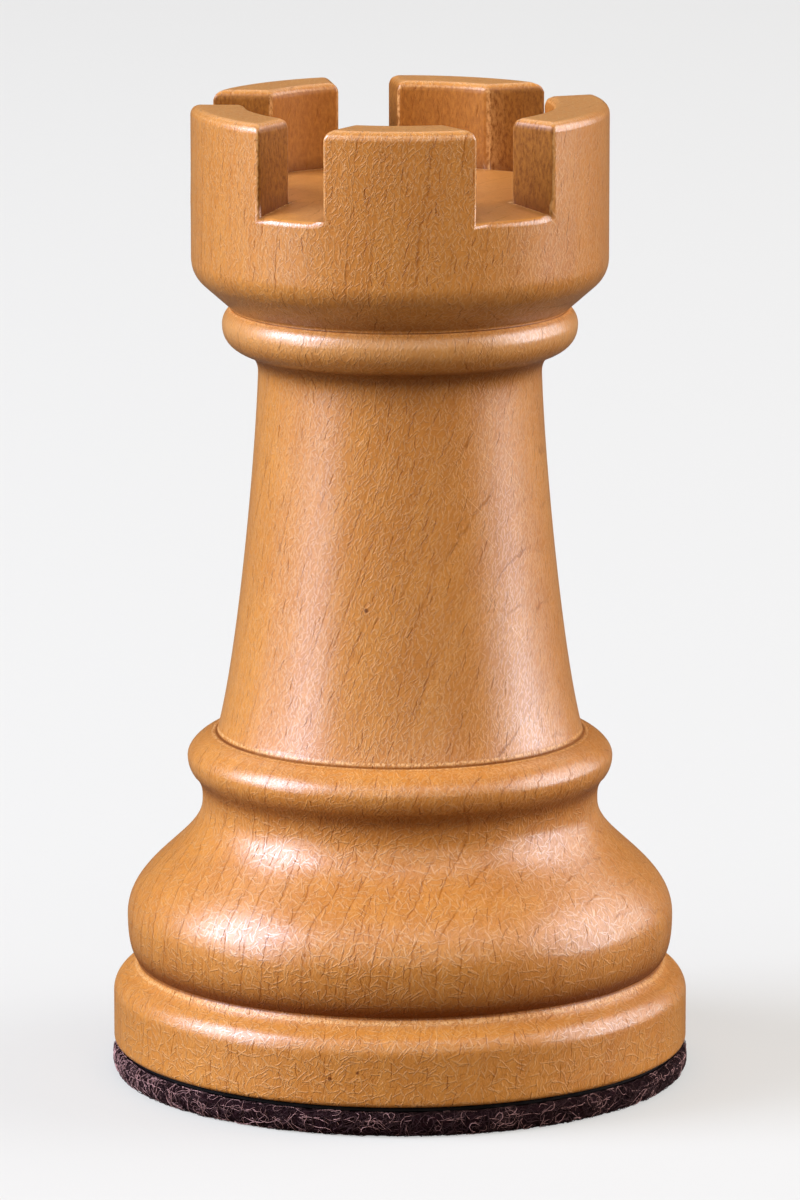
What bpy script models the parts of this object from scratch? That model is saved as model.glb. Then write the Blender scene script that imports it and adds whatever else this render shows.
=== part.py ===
"""A weighted wooden chess rook that stands on a soft pad.

Metres, +Z up. The turning axis is Z, and the underside of the pad lies on Z = 0.
The front of the rook, at azimuth 0, faces -Y, and azimuths grow towards +X.
"""

import math

import bmesh
import bpy
from mathutils import Vector
from mathutils.geometry import interpolate_bezier

MM = 0.001

# Pad and adhesive under the foot
PAD_OVERHANG = 0.05 * MM  # past the plinth's wall
PAD_THICKNESS = 1.3 * MM
PAD_ROUND = 0.55 * MM
ADHESIVE_THICKNESS = 0.15 * MM
ADHESIVE_INSET = 0.45 * MM  # from the plinth's wall
GLUE_GAP = 0.1 * MM  # on each face of the adhesive

# Weight in the foot
BORE_RADIUS = 8.0 * MM
BORE_DEPTH = 13.0 * MM
SLUG_LENGTH = 9.6 * MM
SLUG_CHAMFER = 0.5 * MM
PLUG_CHAMFER = 0.3 * MM
SEAT_GAP = 0.3 * MM  # round the slug and the plug, and at their ends

# Plinth, with a ledge that climbs to the bulb
PLINTH_RADIUS = 16.15 * MM
PLINTH_HEIGHT = 4.15 * MM
PLINTH_FOOT_ROUND = 0.3 * MM
PLINTH_EDGE_ROUND = 1.3 * MM
PLINTH_EDGE_TURN = 67.5  # degrees of round before the ledge begins
LEDGE_RISE = 0.58 * MM
LEDGE_PULL = 0.26 * MM
LEDGE_END_ANGLE = 122.0  # degrees, where 0 is outwards and 90 is up

# Bulb and the cove that draws it in to the neck
BULB_SETBACK = 0.8 * MM  # of its crest behind the plinth's wall
BULB_UNDERCUT = 0.62 * MM  # of its foot under its crest
BULB_CREST_RISE = 2.55 * MM
BULB_SHOULDER_RISE = 6.52 * MM
BULB_FOOT_ANGLE = 41.0  # degrees above level
BULB_FOOT_PULL = 0.72 * MM
BULB_CREST_PULL = 1.0 * MM
BULB_SHOULDER_PULL = 2.9 * MM
NECK_PULL = 2.4 * MM
NECK_RADIUS = 11.1 * MM
NECK_HEIGHT = 1.1 * MM

# Bead under the stem
BEAD_RADIUS = 11.93 * MM
BEAD_CREST_RISE = 1.45 * MM
BEAD_TOP_RISE = 1.35 * MM
BEAD_FOOT_ANGLE = 35.0  # degrees above level
BEAD_FOOT_PULL = 0.54 * MM
BEAD_CREST_PULL = 0.7 * MM
BEAD_TOP_PULL = 0.45 * MM
BEAD_TOP_DIP = 8.0  # degrees that its top sinks towards the stem

# Stem
STEM_FOOT_RADIUS = 10.28 * MM
STEM_TOP_RADIUS = 7.88 * MM
STEM_HEIGHT = 21.4 * MM
STEM_FOOT_LEAN = 15.8  # degrees off upright
STEM_TOP_LEAN = 0.5
STEM_PULL = 4.4 * MM

# Collar over the stem
COLLAR_RADIUS = 9.9 * MM
COLLAR_CREST_RISE = 1.85 * MM
COLLAR_TOP_RISE = 0.77 * MM
COLLAR_FOOT_ANGLE = 12.0  # degrees above level
COLLAR_FOOT_PULL = 0.57 * MM
COLLAR_FLANK_PULL = 1.4 * MM
COLLAR_TOP_PULL = 0.45 * MM

# Head, solid up to the floor of its battlements
HEAD_FOOT_RADIUS = 9.32 * MM
HEAD_RADIUS = 11.6 * MM
HEAD_FLARE = 41.5  # degrees above level
HEAD_ROUND = 1.83 * MM
HEAD_SOLID_HEIGHT = 6.73 * MM

# Battlements: a round recess, opened by notches that were cut one by one
NOTCH_DEPTH = 4.9 * MM
RECESS_RADIUS = 8.48 * MM
NOTCH_ROUND = 0.5 * MM
# Each notch has its heading in degrees, how far its middle line misses the axis towards
# greater azimuths, its width at the rim, and the angle by which each wall fans out.
NOTCHES = (
    (-94.0, -1.55 * MM, 5.1 * MM, 0.0),
    (-31.5, 0.0 * MM, 4.05 * MM, 0.0),
    (40.0, -1.25 * MM, 4.9 * MM, 6.5),
    (110.0, 2.4 * MM, 4.9 * MM, 0.0),
    (189.5, 0.43 * MM, 3.35 * MM, 0.0),
)

# Sizes and heights that follow from the lengths above
PAD_RADIUS = PLINTH_RADIUS + PAD_OVERHANG
ADHESIVE_RADIUS = PLINTH_RADIUS - ADHESIVE_INSET
BULB_RADIUS = PLINTH_RADIUS - BULB_SETBACK
BULB_FOOT_RADIUS = BULB_RADIUS - BULB_UNDERCUT
SEAT_RADIUS = BORE_RADIUS - SEAT_GAP
ADHESIVE_FOOT = PAD_THICKNESS + GLUE_GAP
WOOD_FOOT = ADHESIVE_FOOT + ADHESIVE_THICKNESS + GLUE_GAP
BORE_END = WOOD_FOOT + BORE_DEPTH
SLUG_FOOT = BORE_END - SEAT_GAP - SLUG_LENGTH
PLUG_THICKNESS = SLUG_FOOT - SEAT_GAP - WOOD_FOOT
PLINTH_TOP = WOOD_FOOT + PLINTH_HEIGHT
BULB_FOOT = PLINTH_TOP + LEDGE_RISE
BULB_CREST = BULB_FOOT + BULB_CREST_RISE
NECK_FOOT = BULB_CREST + BULB_SHOULDER_RISE
BEAD_FOOT = NECK_FOOT + NECK_HEIGHT
BEAD_CREST = BEAD_FOOT + BEAD_CREST_RISE
STEM_FOOT = BEAD_CREST + BEAD_TOP_RISE
COLLAR_FOOT = STEM_FOOT + STEM_HEIGHT
COLLAR_CREST = COLLAR_FOOT + COLLAR_CREST_RISE
HEAD_FOOT = COLLAR_CREST + COLLAR_TOP_RISE
NOTCH_FLOOR = HEAD_FOOT + HEAD_SOLID_HEIGHT
TURRET_TOP = NOTCH_FLOOR + NOTCH_DEPTH

# Facets: steps about the axis, points along each kind of run in the outline, and the turret's
ROUND_STEPS = 56
FILLET_POINTS = 4
BEAD_POINTS = 5
EDGE_POINTS = 6
STEM_POINTS = 7
SHOULDER_POINTS = 9
ROUND_SEGMENTS = 3
CHAMFER_SEGMENTS = 1
STATION_STEP = 6.0  # degrees of turret rim
SHARP_ANGLE = 35.0  # degrees, above which an edge isn't shaded smooth
MERGE = 1e-7

# Finishes: colour as linear light, roughness and metallic value
WOOD_FINISH = ((0.50, 0.22, 0.072, 1.0), 0.42, 0.0)
PAD_FINISH = ((0.045, 0.020, 0.022, 1.0), 0.9, 0.0)
ADHESIVE_FINISH = ((0.008, 0.006, 0.006, 1.0), 0.6, 0.0)
IRON_FINISH = ((0.22, 0.21, 0.20, 1.0), 0.65, 1.0)
PLUG_FINISH = ((0.42, 0.27, 0.14, 1.0), 0.8, 0.0)


def clear_scene():
    for obj in list(bpy.data.objects):
        bpy.data.objects.remove(obj, do_unlink=True)


def finish(name, colour, roughness, metallic):
    material = bpy.data.materials.new(name)
    material.use_nodes = True
    shader = material.node_tree.nodes["Principled BSDF"]
    shader.inputs["Base Color"].default_value = colour
    shader.inputs["Roughness"].default_value = roughness
    shader.inputs["Metallic"].default_value = metallic
    return material


def to_object(bm, name, material, height, parent):
    """Closes the mesh off as an object whose own Z = 0 stands at the given height."""
    bmesh.ops.remove_doubles(bm, verts=bm.verts, dist=MERGE)
    bmesh.ops.recalc_face_normals(bm, faces=bm.faces)
    mesh = bpy.data.meshes.new(name)
    bm.to_mesh(mesh)
    bm.free()
    mesh.shade_smooth()
    mesh.set_sharp_from_angle(angle=math.radians(SHARP_ANGLE))
    mesh.materials.append(material)
    obj = bpy.data.objects.new(name, mesh)
    obj.location.z = height
    obj.parent = parent
    bpy.context.collection.objects.link(obj)
    return obj


def towards(angle, length):
    """A step in the outline's plane: 0 degrees is outwards, 90 is up."""
    turn = math.radians(angle)
    return Vector((length * math.cos(turn), length * math.sin(turn)))


def sweep(start, leaving, leave_pull, end, arriving, arrive_pull, count):
    """A curve from start to end that leaves and arrives along the given directions."""
    first = Vector(start)
    last = Vector(end)
    handles = first + towards(leaving, leave_pull), last - towards(arriving, arrive_pull)
    return interpolate_bezier(first, *handles, last, count)


def arc(centre, radius, begin, end, count):
    turns = (begin + (end - begin) * step / (count - 1) for step in range(count))
    return [Vector(centre) + towards(turn, radius) for turn in turns]


def head_underside():
    """A cone from the collar, rounded into the upright wall of the head."""
    flare = math.radians(HEAD_FLARE)
    corner = HEAD_FOOT + (HEAD_RADIUS - HEAD_FOOT_RADIUS) * math.tan(flare)
    tangent = HEAD_ROUND * math.tan((math.pi / 2 - flare) / 2)
    centre = (HEAD_RADIUS - HEAD_ROUND, corner + tangent)
    return arc(centre, HEAD_ROUND, HEAD_FLARE - 90.0, 0.0, EDGE_POINTS)


def body_outline():
    """Radius and height from the end of the bore, round the foot and up to the head's wall."""
    foot_centre = (PLINTH_RADIUS - PLINTH_FOOT_ROUND, WOOD_FOOT + PLINTH_FOOT_ROUND)
    edge_centre = (PLINTH_RADIUS - PLINTH_EDGE_ROUND, PLINTH_TOP - PLINTH_EDGE_ROUND)
    edge = arc(edge_centre, PLINTH_EDGE_ROUND, 0.0, PLINTH_EDGE_TURN, EDGE_POINTS)
    bulb_foot = (BULB_FOOT_RADIUS, BULB_FOOT)
    bulb_crest = (BULB_RADIUS, BULB_CREST)
    neck_foot = (NECK_RADIUS, NECK_FOOT)
    bead_foot = (NECK_RADIUS, BEAD_FOOT)
    bead_crest = (BEAD_RADIUS, BEAD_CREST)
    stem_foot = (STEM_FOOT_RADIUS, STEM_FOOT)
    stem_top = (STEM_TOP_RADIUS, COLLAR_FOOT)
    collar_crest = (COLLAR_RADIUS, COLLAR_CREST)
    head_foot = (HEAD_FOOT_RADIUS, HEAD_FOOT)
    ledge_leaving = 90.0 + PLINTH_EDGE_TURN
    bead_arriving = 180.0 + BEAD_TOP_DIP
    stem_leaving = 90.0 + STEM_FOOT_LEAN
    stem_arriving = 90.0 + STEM_TOP_LEAN
    bore = [(0.0, BORE_END), (BORE_RADIUS, BORE_END), (BORE_RADIUS, WOOD_FOOT)]
    foot = arc(foot_centre, PLINTH_FOOT_ROUND, -90.0, 0.0, FILLET_POINTS)
    ledge = sweep(
        edge[-1], ledge_leaving, LEDGE_PULL, bulb_foot, LEDGE_END_ANGLE, LEDGE_PULL, FILLET_POINTS
    )
    bulb = sweep(
        bulb_foot, BULB_FOOT_ANGLE, BULB_FOOT_PULL, bulb_crest, 90.0, BULB_CREST_PULL, EDGE_POINTS
    )
    shoulder = sweep(
        bulb_crest, 90.0, BULB_SHOULDER_PULL, neck_foot, 90.0, NECK_PULL, SHOULDER_POINTS
    )
    bead = sweep(
        bead_foot, BEAD_FOOT_ANGLE, BEAD_FOOT_PULL, bead_crest, 90.0, BEAD_CREST_PULL, BEAD_POINTS
    )
    bead_top = sweep(
        bead_crest, 90.0, BEAD_CREST_PULL, stem_foot, bead_arriving, BEAD_TOP_PULL, BEAD_POINTS
    )
    stem = sweep(
        stem_foot, stem_leaving, STEM_PULL, stem_top, stem_arriving, STEM_PULL, STEM_POINTS
    )
    collar = sweep(
        stem_top, COLLAR_FOOT_ANGLE, COLLAR_FOOT_PULL,
        collar_crest, 90.0, COLLAR_FLANK_PULL, EDGE_POINTS,
    )
    collar_top = sweep(
        collar_crest, 90.0, COLLAR_TOP_PULL, head_foot, 180.0, COLLAR_TOP_PULL / 2, BEAD_POINTS
    )
    runs = (bore, foot, edge, ledge, bulb, shoulder, bead, bead_top, stem, collar, collar_top)
    outline = []
    for run in (*runs, head_underside()):
        for point in map(Vector, run):
            if not outline or (point - outline[-1]).length > MERGE:
                outline.append(point)
    return outline


def turn_on_axis(bm, outline):
    """Spins the outline about Z and returns the open edges it leaves at the top."""
    points = [bm.verts.new((point.x, 0.0, point.y)) for point in outline]
    edges = [bm.edges.new(pair) for pair in zip(points, points[1:])]
    bmesh.ops.spin(
        bm,
        geom=points + edges,
        cent=(0.0, 0.0, 0.0),
        axis=(0.0, 0.0, 1.0),
        angle=math.tau,
        steps=ROUND_STEPS,
        use_merge=True,
    )
    bmesh.ops.remove_doubles(bm, verts=bm.verts, dist=MERGE)
    return [edge for edge in bm.edges if edge.is_boundary]


def notch_walls(heading, miss, width, fan):
    """The azimuths at which a notch's two walls meet the rim and the recess, in degrees."""
    walls = []
    for side in (-1.0, 1.0):
        offset = miss + side * width / 2
        rim = heading + math.degrees(math.asin(offset / HEAD_RADIUS))
        # The wall's own line passes the axis at this distance, turned by the fan.
        reach = HEAD_RADIUS * math.sin(math.radians(rim - heading - side * fan))
        recess = heading + side * fan + math.degrees(math.asin(reach / RECESS_RADIUS))
        walls.append((rim, recess))
    return walls


def turret_stations():
    """Rim azimuth, recess azimuth and whether a merlon stands after it, round the turret."""
    walls = [notch_walls(*notch) for notch in NOTCHES]
    stations = []
    for index, (begin, end) in enumerate(walls):
        following = walls[(index + 1) % len(walls)][0]
        turn = 360.0 if index + 1 == len(walls) else 0.0
        next_begin = (following[0] + turn, following[1] + turn)
        for first, last, stands in ((begin, end, False), (end, next_begin, True)):
            count = max(2, math.ceil((last[0] - first[0]) / STATION_STEP))
            for step in range(count):
                share = step / count
                rim = first[0] + (last[0] - first[0]) * share
                recess = first[1] + (last[1] - first[1]) * share
                stations.append((rim, recess, stands))
    return stations


def around(radius, azimuth, height):
    turn = math.radians(azimuth)
    return (radius * math.sin(turn), -radius * math.cos(turn), height)


def build_battlements(bm, skirt_height):
    """Adds the notched turret above an open ring on the head's wall, and returns that ring."""
    stations = turret_stations()
    stands = [station[2] for station in stations]
    rim_rings = {}
    recess_rings = {}
    for height in (skirt_height, NOTCH_FLOOR, TURRET_TOP):
        rim_rings[height] = [bm.verts.new(around(HEAD_RADIUS, s[0], height)) for s in stations]
    for height in (NOTCH_FLOOR, TURRET_TOP):
        recess_rings[height] = [bm.verts.new(around(RECESS_RADIUS, s[1], height)) for s in stations]
    skirt = rim_rings[skirt_height]
    rim_low = rim_rings[NOTCH_FLOOR]
    rim_high = rim_rings[TURRET_TOP]
    recess_low = recess_rings[NOTCH_FLOOR]
    recess_high = recess_rings[TURRET_TOP]
    rounded = []
    for here in range(len(stations)):
        after = (here + 1) % len(stations)
        bm.faces.new((skirt[here], skirt[after], rim_low[after], rim_low[here]))
        if stands[here]:
            bm.faces.new((rim_low[here], rim_low[after], rim_high[after], rim_high[here]))
            bm.faces.new((rim_high[here], rim_high[after], recess_high[after], recess_high[here]))
            bm.faces.new((recess_high[here], recess_high[after], recess_low[after], recess_low[here]))
            rounded.append((rim_high[here], rim_high[after]))
            rounded.append((recess_high[here], recess_high[after]))
        else:
            bm.faces.new((rim_low[here], rim_low[after], recess_low[after], recess_low[here]))
            rounded.append((rim_low[here], rim_low[after]))
        if stands[here] != stands[here - 1]:
            bm.faces.new((rim_low[here], rim_high[here], recess_high[here], recess_low[here]))
            rounded.append((rim_high[here], recess_high[here]))
            rounded.append((rim_low[here], rim_high[here]))
            rounded.append((recess_low[here], recess_high[here]))
    bm.faces.new(recess_low)
    ring = [bm.edges.get((skirt[here - 1], skirt[here])) for here in range(len(skirt))]
    loose = [vert for vert in bm.verts if not vert.link_faces]
    bmesh.ops.delete(bm, geom=loose, context="VERTS")
    bmesh.ops.recalc_face_normals(bm, faces=bm.faces)
    bmesh.ops.bevel(
        bm,
        geom=[bm.edges.get(pair) for pair in rounded],
        offset=NOTCH_ROUND,
        offset_type="OFFSET",
        segments=ROUND_SEGMENTS,
        profile=0.5,
        affect="EDGES",
        clamp_overlap=True,
    )
    return ring


def build_turned_body(material, parent):
    outline = body_outline()
    skirt_height = (outline[-1].y + NOTCH_FLOOR) / 2
    bm = bmesh.new()
    head_edges = turn_on_axis(bm, outline)
    skirt_edges = build_battlements(bm, skirt_height)
    bmesh.ops.bridge_loops(bm, edges=head_edges + skirt_edges)
    return to_object(bm, "turned_body", material, 0.0, parent)


def build_disc(name, radius, thickness, edge, material, foot, parent):
    """A round piece on its own Z = 0, with rims bevelled by edge, which is a width and segments."""
    bm = bmesh.new()
    bmesh.ops.create_cone(
        bm,
        cap_ends=True,
        segments=ROUND_STEPS,
        radius1=radius,
        radius2=radius,
        depth=thickness,
    )
    bmesh.ops.translate(bm, verts=bm.verts, vec=(0.0, 0.0, thickness / 2))
    if edge:
        width, segments = edge
        rims = [e for e in bm.edges if abs(e.verts[0].co.z - e.verts[1].co.z) < MERGE]
        bmesh.ops.bevel(bm, geom=rims, offset=width, segments=segments, profile=0.5, affect="EDGES")
    return to_object(bm, name, material, foot, parent)


def main():
    clear_scene()
    wood = finish("lacquered_wood", *WOOD_FINISH)
    felt = finish("pad_felt", *PAD_FINISH)
    adhesive = finish("dark_adhesive", *ADHESIVE_FINISH)
    iron = finish("cast_iron", *IRON_FINISH)
    raw_wood = finish("raw_wood", *PLUG_FINISH)

    axis = bpy.data.objects.new("turning_axis", None)
    bpy.context.collection.objects.link(axis)
    slug_edge = (SLUG_CHAMFER, CHAMFER_SEGMENTS)
    plug_edge = (PLUG_CHAMFER, CHAMFER_SEGMENTS)
    pad_edge = (PAD_ROUND, ROUND_SEGMENTS)
    build_turned_body(wood, axis)
    build_disc("weight_slug", SEAT_RADIUS, SLUG_LENGTH, slug_edge, iron, SLUG_FOOT, axis)
    build_disc("bore_plug", SEAT_RADIUS, PLUG_THICKNESS, plug_edge, raw_wood, WOOD_FOOT, axis)
    build_disc(
        "pad_adhesive", ADHESIVE_RADIUS, ADHESIVE_THICKNESS, None, adhesive, ADHESIVE_FOOT, axis
    )
    build_disc("base_pad", PAD_RADIUS, PAD_THICKNESS, pad_edge, felt, 0.0, axis)


main()
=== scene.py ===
import bpy
import numpy as np
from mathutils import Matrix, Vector


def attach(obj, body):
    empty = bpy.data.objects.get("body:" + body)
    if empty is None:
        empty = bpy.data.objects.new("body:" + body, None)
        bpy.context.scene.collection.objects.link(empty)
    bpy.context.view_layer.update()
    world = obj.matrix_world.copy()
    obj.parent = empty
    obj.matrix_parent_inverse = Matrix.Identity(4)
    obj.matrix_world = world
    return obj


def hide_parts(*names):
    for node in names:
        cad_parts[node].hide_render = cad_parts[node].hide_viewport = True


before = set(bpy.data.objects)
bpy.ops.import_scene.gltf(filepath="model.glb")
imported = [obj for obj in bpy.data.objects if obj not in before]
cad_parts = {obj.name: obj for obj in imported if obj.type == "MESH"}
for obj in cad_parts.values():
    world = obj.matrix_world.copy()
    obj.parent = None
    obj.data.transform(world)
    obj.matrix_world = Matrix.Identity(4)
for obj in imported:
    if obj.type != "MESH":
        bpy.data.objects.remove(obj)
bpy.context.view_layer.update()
mm = 0.001
draw = np.random.default_rng(7)
print("frame loaded:", ", ".join(sorted(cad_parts)))


# shader tools

# shares of a stroke's half width and length that are full, and softness of the choice
strokeFade = {"side": 0.3, "end": 0.5, "chance": 0.03}


class Wire:
    # one output socket: arithmetic on it adds Math nodes beside it
    def __init__(self, finish, socket):
        self.finish = finish
        self.socket = socket

    def math(self, operation, *values):
        return self.finish.node("Math", {"operation": operation}, dict(enumerate(values)))

    def __add__(self, other):
        return self.math("ADD", self, other)

    def __radd__(self, other):
        return self.math("ADD", other, self)

    def __sub__(self, other):
        return self.math("SUBTRACT", self, other)

    def __rsub__(self, other):
        return self.math("SUBTRACT", other, self)

    def __mul__(self, other):
        return self.math("MULTIPLY", self, other)

    def __rmul__(self, other):
        return self.math("MULTIPLY", other, self)

    def __truediv__(self, other):
        return self.math("DIVIDE", self, other)

    def __rtruediv__(self, other):
        return self.math("DIVIDE", other, self)

    def __abs__(self):
        return self.math("ABSOLUTE", self)

    def fraction(self):
        return self.math("FRACT", self)

    def most(self, other):
        return self.math("MAXIMUM", self, other)

    def sibling(self, output):
        return Wire(self.finish, self.socket.node.outputs[output])

    def step(self, low, high):
        # 0 below low, 1 above high, smooth between
        sockets = {0: self, 1: low, 2: high, 3: 0.0, 4: 1.0}
        return self.finish.node("MapRange", {"interpolation_type": "SMOOTHSTEP"}, sockets)

    def band(self, rise, fall):
        # climbs from 0 to 1 over one span and goes back over the other
        return self.step(*rise) * (1.0 - self.step(*fall))


class Finish:
    # one material, whose nodes are added one call at a time
    def __init__(self, name, **constants):
        self.material = bpy.data.materials.new(name)
        self.material.use_nodes = True
        self.tree = self.material.node_tree
        self.shader = self.tree.nodes["Principled BSDF"]
        for socket, value in constants.items():
            self.shader.inputs[socket.replace("_", " ")].default_value = value

    def plug(self, value, socket):
        if isinstance(value, Wire):
            self.tree.links.new(value.socket, socket)
        else:
            socket.default_value = value

    def node(self, kind, settings=None, sockets=None, output=0):
        made = self.tree.nodes.new("ShaderNode" + kind)
        for key, value in (settings or {}).items():
            setattr(made, key, value)
        for key, value in (sockets or {}).items():
            self.plug(value, made.inputs[key])
        return Wire(self, made.outputs[output])

    def skinPoint(self):
        # the point on the piece, in mm
        return self.node("Mapping", None, {0: self.node("TexCoord", output=3), 3: (1.0 / mm,) * 3})

    def noise(self, point, scale=1.0, detail=2.0, roughness=0.5, distortion=0.0, output=0):
        sockets = {0: point, 2: scale, 3: detail, 4: roughness, 8: distortion}
        return self.node("TexNoise", {"noise_dimensions": "3D"}, sockets, output)

    def stretched(self, point, scale, **settings):
        # noise with its own scale along each axis
        return self.noise(self.vector("MULTIPLY", point, scale), **settings)

    def split(self, vector):
        first = self.node("SeparateXYZ", None, {0: vector})
        return first, first.sibling(1), first.sibling(2)

    def join(self, *values):
        return self.node("CombineXYZ", None, dict(enumerate(values)))

    def vector(self, operation, *values, output=0):
        return self.node("VectorMath", {"operation": operation}, dict(enumerate(values)), output)

    def gap(self, point, centre):
        return self.vector("DISTANCE", point, centre, output=1)

    def attribute(self, name):
        return self.node("Attribute", {"attribute_name": name}, None, 2)

    def mix(self, amount, first, second):
        return self.node("Mix", {"data_type": "RGBA"}, {0: amount, 6: first, 7: second}, 2)

    def strokes(self, point, normal, cell, along, spread, half, length, share):
        # a short line in each Voronoi cell, measured along the surface from the cell's own point
        middle = self.node("TexVoronoi", {"feature": "F1"}, {0: point, 2: 1.0 / cell}, 2)
        chance = middle.sibling(1)
        offset = self.vector("SUBTRACT", point, middle)
        wild = self.vector("SUBTRACT", chance, (0.5, 0.5, 0.5))
        aim = self.vector("NORMALIZE", self.vector("MULTIPLY_ADD", wild, spread, along))
        across = self.vector("NORMALIZE", self.vector("CROSS_PRODUCT", aim, normal))
        miss = abs(self.vector("DOT_PRODUCT", offset, across, output=1))
        reach = abs(self.vector("DOT_PRODUCT", offset, aim, output=1))
        least = 1.0 - share
        chosen = self.split(chance)[1].step(least - strokeFade["chance"], least + strokeFade["chance"])
        onLine = 1.0 - miss.step(strokeFade["side"] * half, half)
        return onLine * (1.0 - reach.step(strokeFade["end"] * length, length)) * chosen

    def bump(self, height, distance):
        return self.node("Bump", None, {"Height": height, "Distance": distance, "Strength": 1.0})

    def feed(self, **sockets):
        for socket, value in sockets.items():
            self.plug(value, self.shader.inputs[socket.replace("_", " ")])
        return self.material


def tint(red, green, blue):
    return (red, green, blue, 1.0)


# mesh tools

def cornerRows(*corners):
    # a row of point numbers for each face or edge, from one array for each corner
    return np.stack([corner.ravel() for corner in corners], axis=1)


def gridQuads(index):
    # index[v, u] to quads v,u  v,u+1  v+1,u+1  v+1,u, joined round the seam
    beside = np.roll(index, -1, axis=1)
    return cornerRows(index[:-1], beside[:-1], beside[1:], index[1:])


def fan(ring, pole, poleFirst):
    # triangles from a closed ring of points to one pole
    beside = np.roll(ring, -1)
    tip = np.full(len(ring), pole)
    return np.stack([tip, beside, ring] if poleFirst else [ring, beside, tip], axis=1)


def newObject(name, data):
    made = bpy.data.objects.new(name, data)
    bpy.context.scene.collection.objects.link(made)
    return made


def newPiece(name, points, faces, values=None):
    # drops points that no face uses, then makes the object with its float point attributes
    used = np.unique(np.concatenate([group.ravel() for group in faces]))
    renumber = np.full(len(points), -1)
    renumber[used] = np.arange(len(used))
    mesh = bpy.data.meshes.new(name)
    polygons = [row for group in faces for row in renumber[group].tolist()]
    mesh.from_pydata(points[used], [], polygons)
    for key, value in (values or {}).items():
        layer = mesh.attributes.new(key, "FLOAT", "POINT")
        layer.data.foreach_set("value", value[used].astype(np.float32))
    mesh.shade_smooth()
    return newObject(name, mesh), renumber


def markEdges(mesh, name, kind, renumber, runs):
    # an edge attribute on runs of edges, each given as points at one end, points at the other, mark
    pairs = np.concatenate([cornerRows(renumber[first], renumber[second]) for first, second, mark in runs])
    marks = np.concatenate([np.full(first.size, mark) for first, second, mark in runs])
    pairs = np.sort(pairs, axis=1)
    ends = np.zeros(len(mesh.edges) * 2, np.int64)
    mesh.edges.foreach_get("vertices", ends)
    ends = np.sort(ends.reshape(-1, 2), axis=1)
    count = len(mesh.vertices)
    code = ends[:, 0] * count + ends[:, 1]
    keys, first = np.unique(pairs[:, 0] * count + pairs[:, 1], return_index=True)
    match = np.searchsorted(keys, code).clip(0, len(keys) - 1)
    values = np.where(keys[match] == code, marks[first][match], 0)
    layer = mesh.attributes.new(name, kind, "EDGE")
    layer.data.foreach_set("value", values.astype({"FLOAT": np.float32, "BOOLEAN": bool}[kind]))


def place(piece, material, node=None):
    piece.data.materials.clear()
    piece.data.materials.append(material)
    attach(piece, "root")
    if node:
        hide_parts(node)


# the wooden body: a turned outline with a notched turret on top, sizes in mm

rook = {
    "foot": 1.65,
    "bore": {"radius": 8.0, "depth": 13.0, "centre": 0.4},
    "plinth": {"radius": 16.15, "height": 4.15, "footRound": 0.3, "edgeRound": 1.3, "edgeTurn": 67.5},
    # up from the plinth: radius of each corner or crest, its rise over the last one, then of the curve
    # to it the angle and pull on leaving, the same on arriving, and the points
    "curves": {
        "bulb": (14.73, 0.58, 157.5, 0.26, 122.0, 0.26, 12),  # leaves 90 degrees past edgeTurn
        "bulbCrest": (15.35, 2.55, 41.0, 0.72, 90.0, 1.0, 18),
        "neck": (11.1, 6.52, 90.0, 2.9, 90.0, 2.4, 30),
        "bead": (11.1, 1.1, 90.0, 1.1 / 3, 90.0, 1.1 / 3, 5),  # straight: a pull is a third of the rise
        "beadCrest": (11.93, 1.45, 35.0, 0.54, 90.0, 0.7, 14),
        "stem": (10.28, 1.35, 90.0, 0.7, 188.0, 0.45, 14),
        "collar": (7.88, 21.4, 105.8, 4.4, 90.5, 4.4, 30),
        "collarCrest": (9.9, 1.72, 12.0, 0.57, 90.0, 1.4, 16),
        "head": (9.32, 0.90, 90.0, 0.5, 180.0, 0.25, 12),
    },
    "fillets": {"bead": 0.7, "collar": 0.9},  # how far from the inner corner each one starts
    "head": {"radius": 11.6, "flare": 41.5, "round": 1.83, "solid": 6.73},
    "turret": {"depth": 4.9, "recessRadius": 8.48, "floorDrop": 0.46, "topLean": 0.0078, "topSink": 0.19,
               "wallRows": 5, "floorRings": 9, "centre": 0.35},
    # width of the rounded edges, and shares of it on notch lips and on upright corners
    "edges": {"width": 0.55, "lip": 0.6, "upright": 0.45, "segments": 5},
    # heading in degrees, how far the middle line misses the axis, width at the rim, fan of each wall
    "notches": [
        (-94.0, -1.55, 5.1, 0.0),
        (-31.5, 0.0, 4.05, 0.0),
        (40.0, -1.25, 4.9, 6.5),
        (110.0, 2.4, 4.9, 0.0),
        (189.5, 0.43, 3.35, 0.0),
    ],
    "columnStep": 1.3,  # degrees round the turret
    "support": 0.78,  # width of the faces beside a rounded edge
    "samePoint": 1e-6,
    # points on the other runs of the outline
    "points": {"boreEnd": 6, "boreWall": 8, "sole": 8, "footRound": 6, "wall": 10, "edge": 14, "cone": 6,
               "headRound": 14, "headWall": 8, "fillet": 9},
}


def towards(angle, length):
    # a step in the outline's plane, where 0 degrees is outwards and 90 is up
    turn = np.radians(angle)
    return length * np.array([np.cos(turn), np.sin(turn)])


def sweep(start, end, leaving, leavePull, arriving, arrivePull, count):
    # cubic Bezier: the four points weighted by (1-t)^3, 3t(1-t)^2, 3t^2(1-t) and t^3
    t = np.linspace(0.0, 1.0, count)[:, None]
    first, second = start + towards(leaving, leavePull), end - towards(arriving, arrivePull)
    return (1 - t) ** 3 * start + 3 * t * (1 - t) ** 2 * first + 3 * t**2 * (1 - t) * second + t**3 * end


def arc(centre, radius, begin, end, count):
    # centre plus radius times (cos a, sin a), a running from begin to end
    turn = np.radians(np.linspace(begin, end, count))
    return np.array(centre) + radius * np.stack([np.cos(turn), np.sin(turn)], axis=1)


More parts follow.
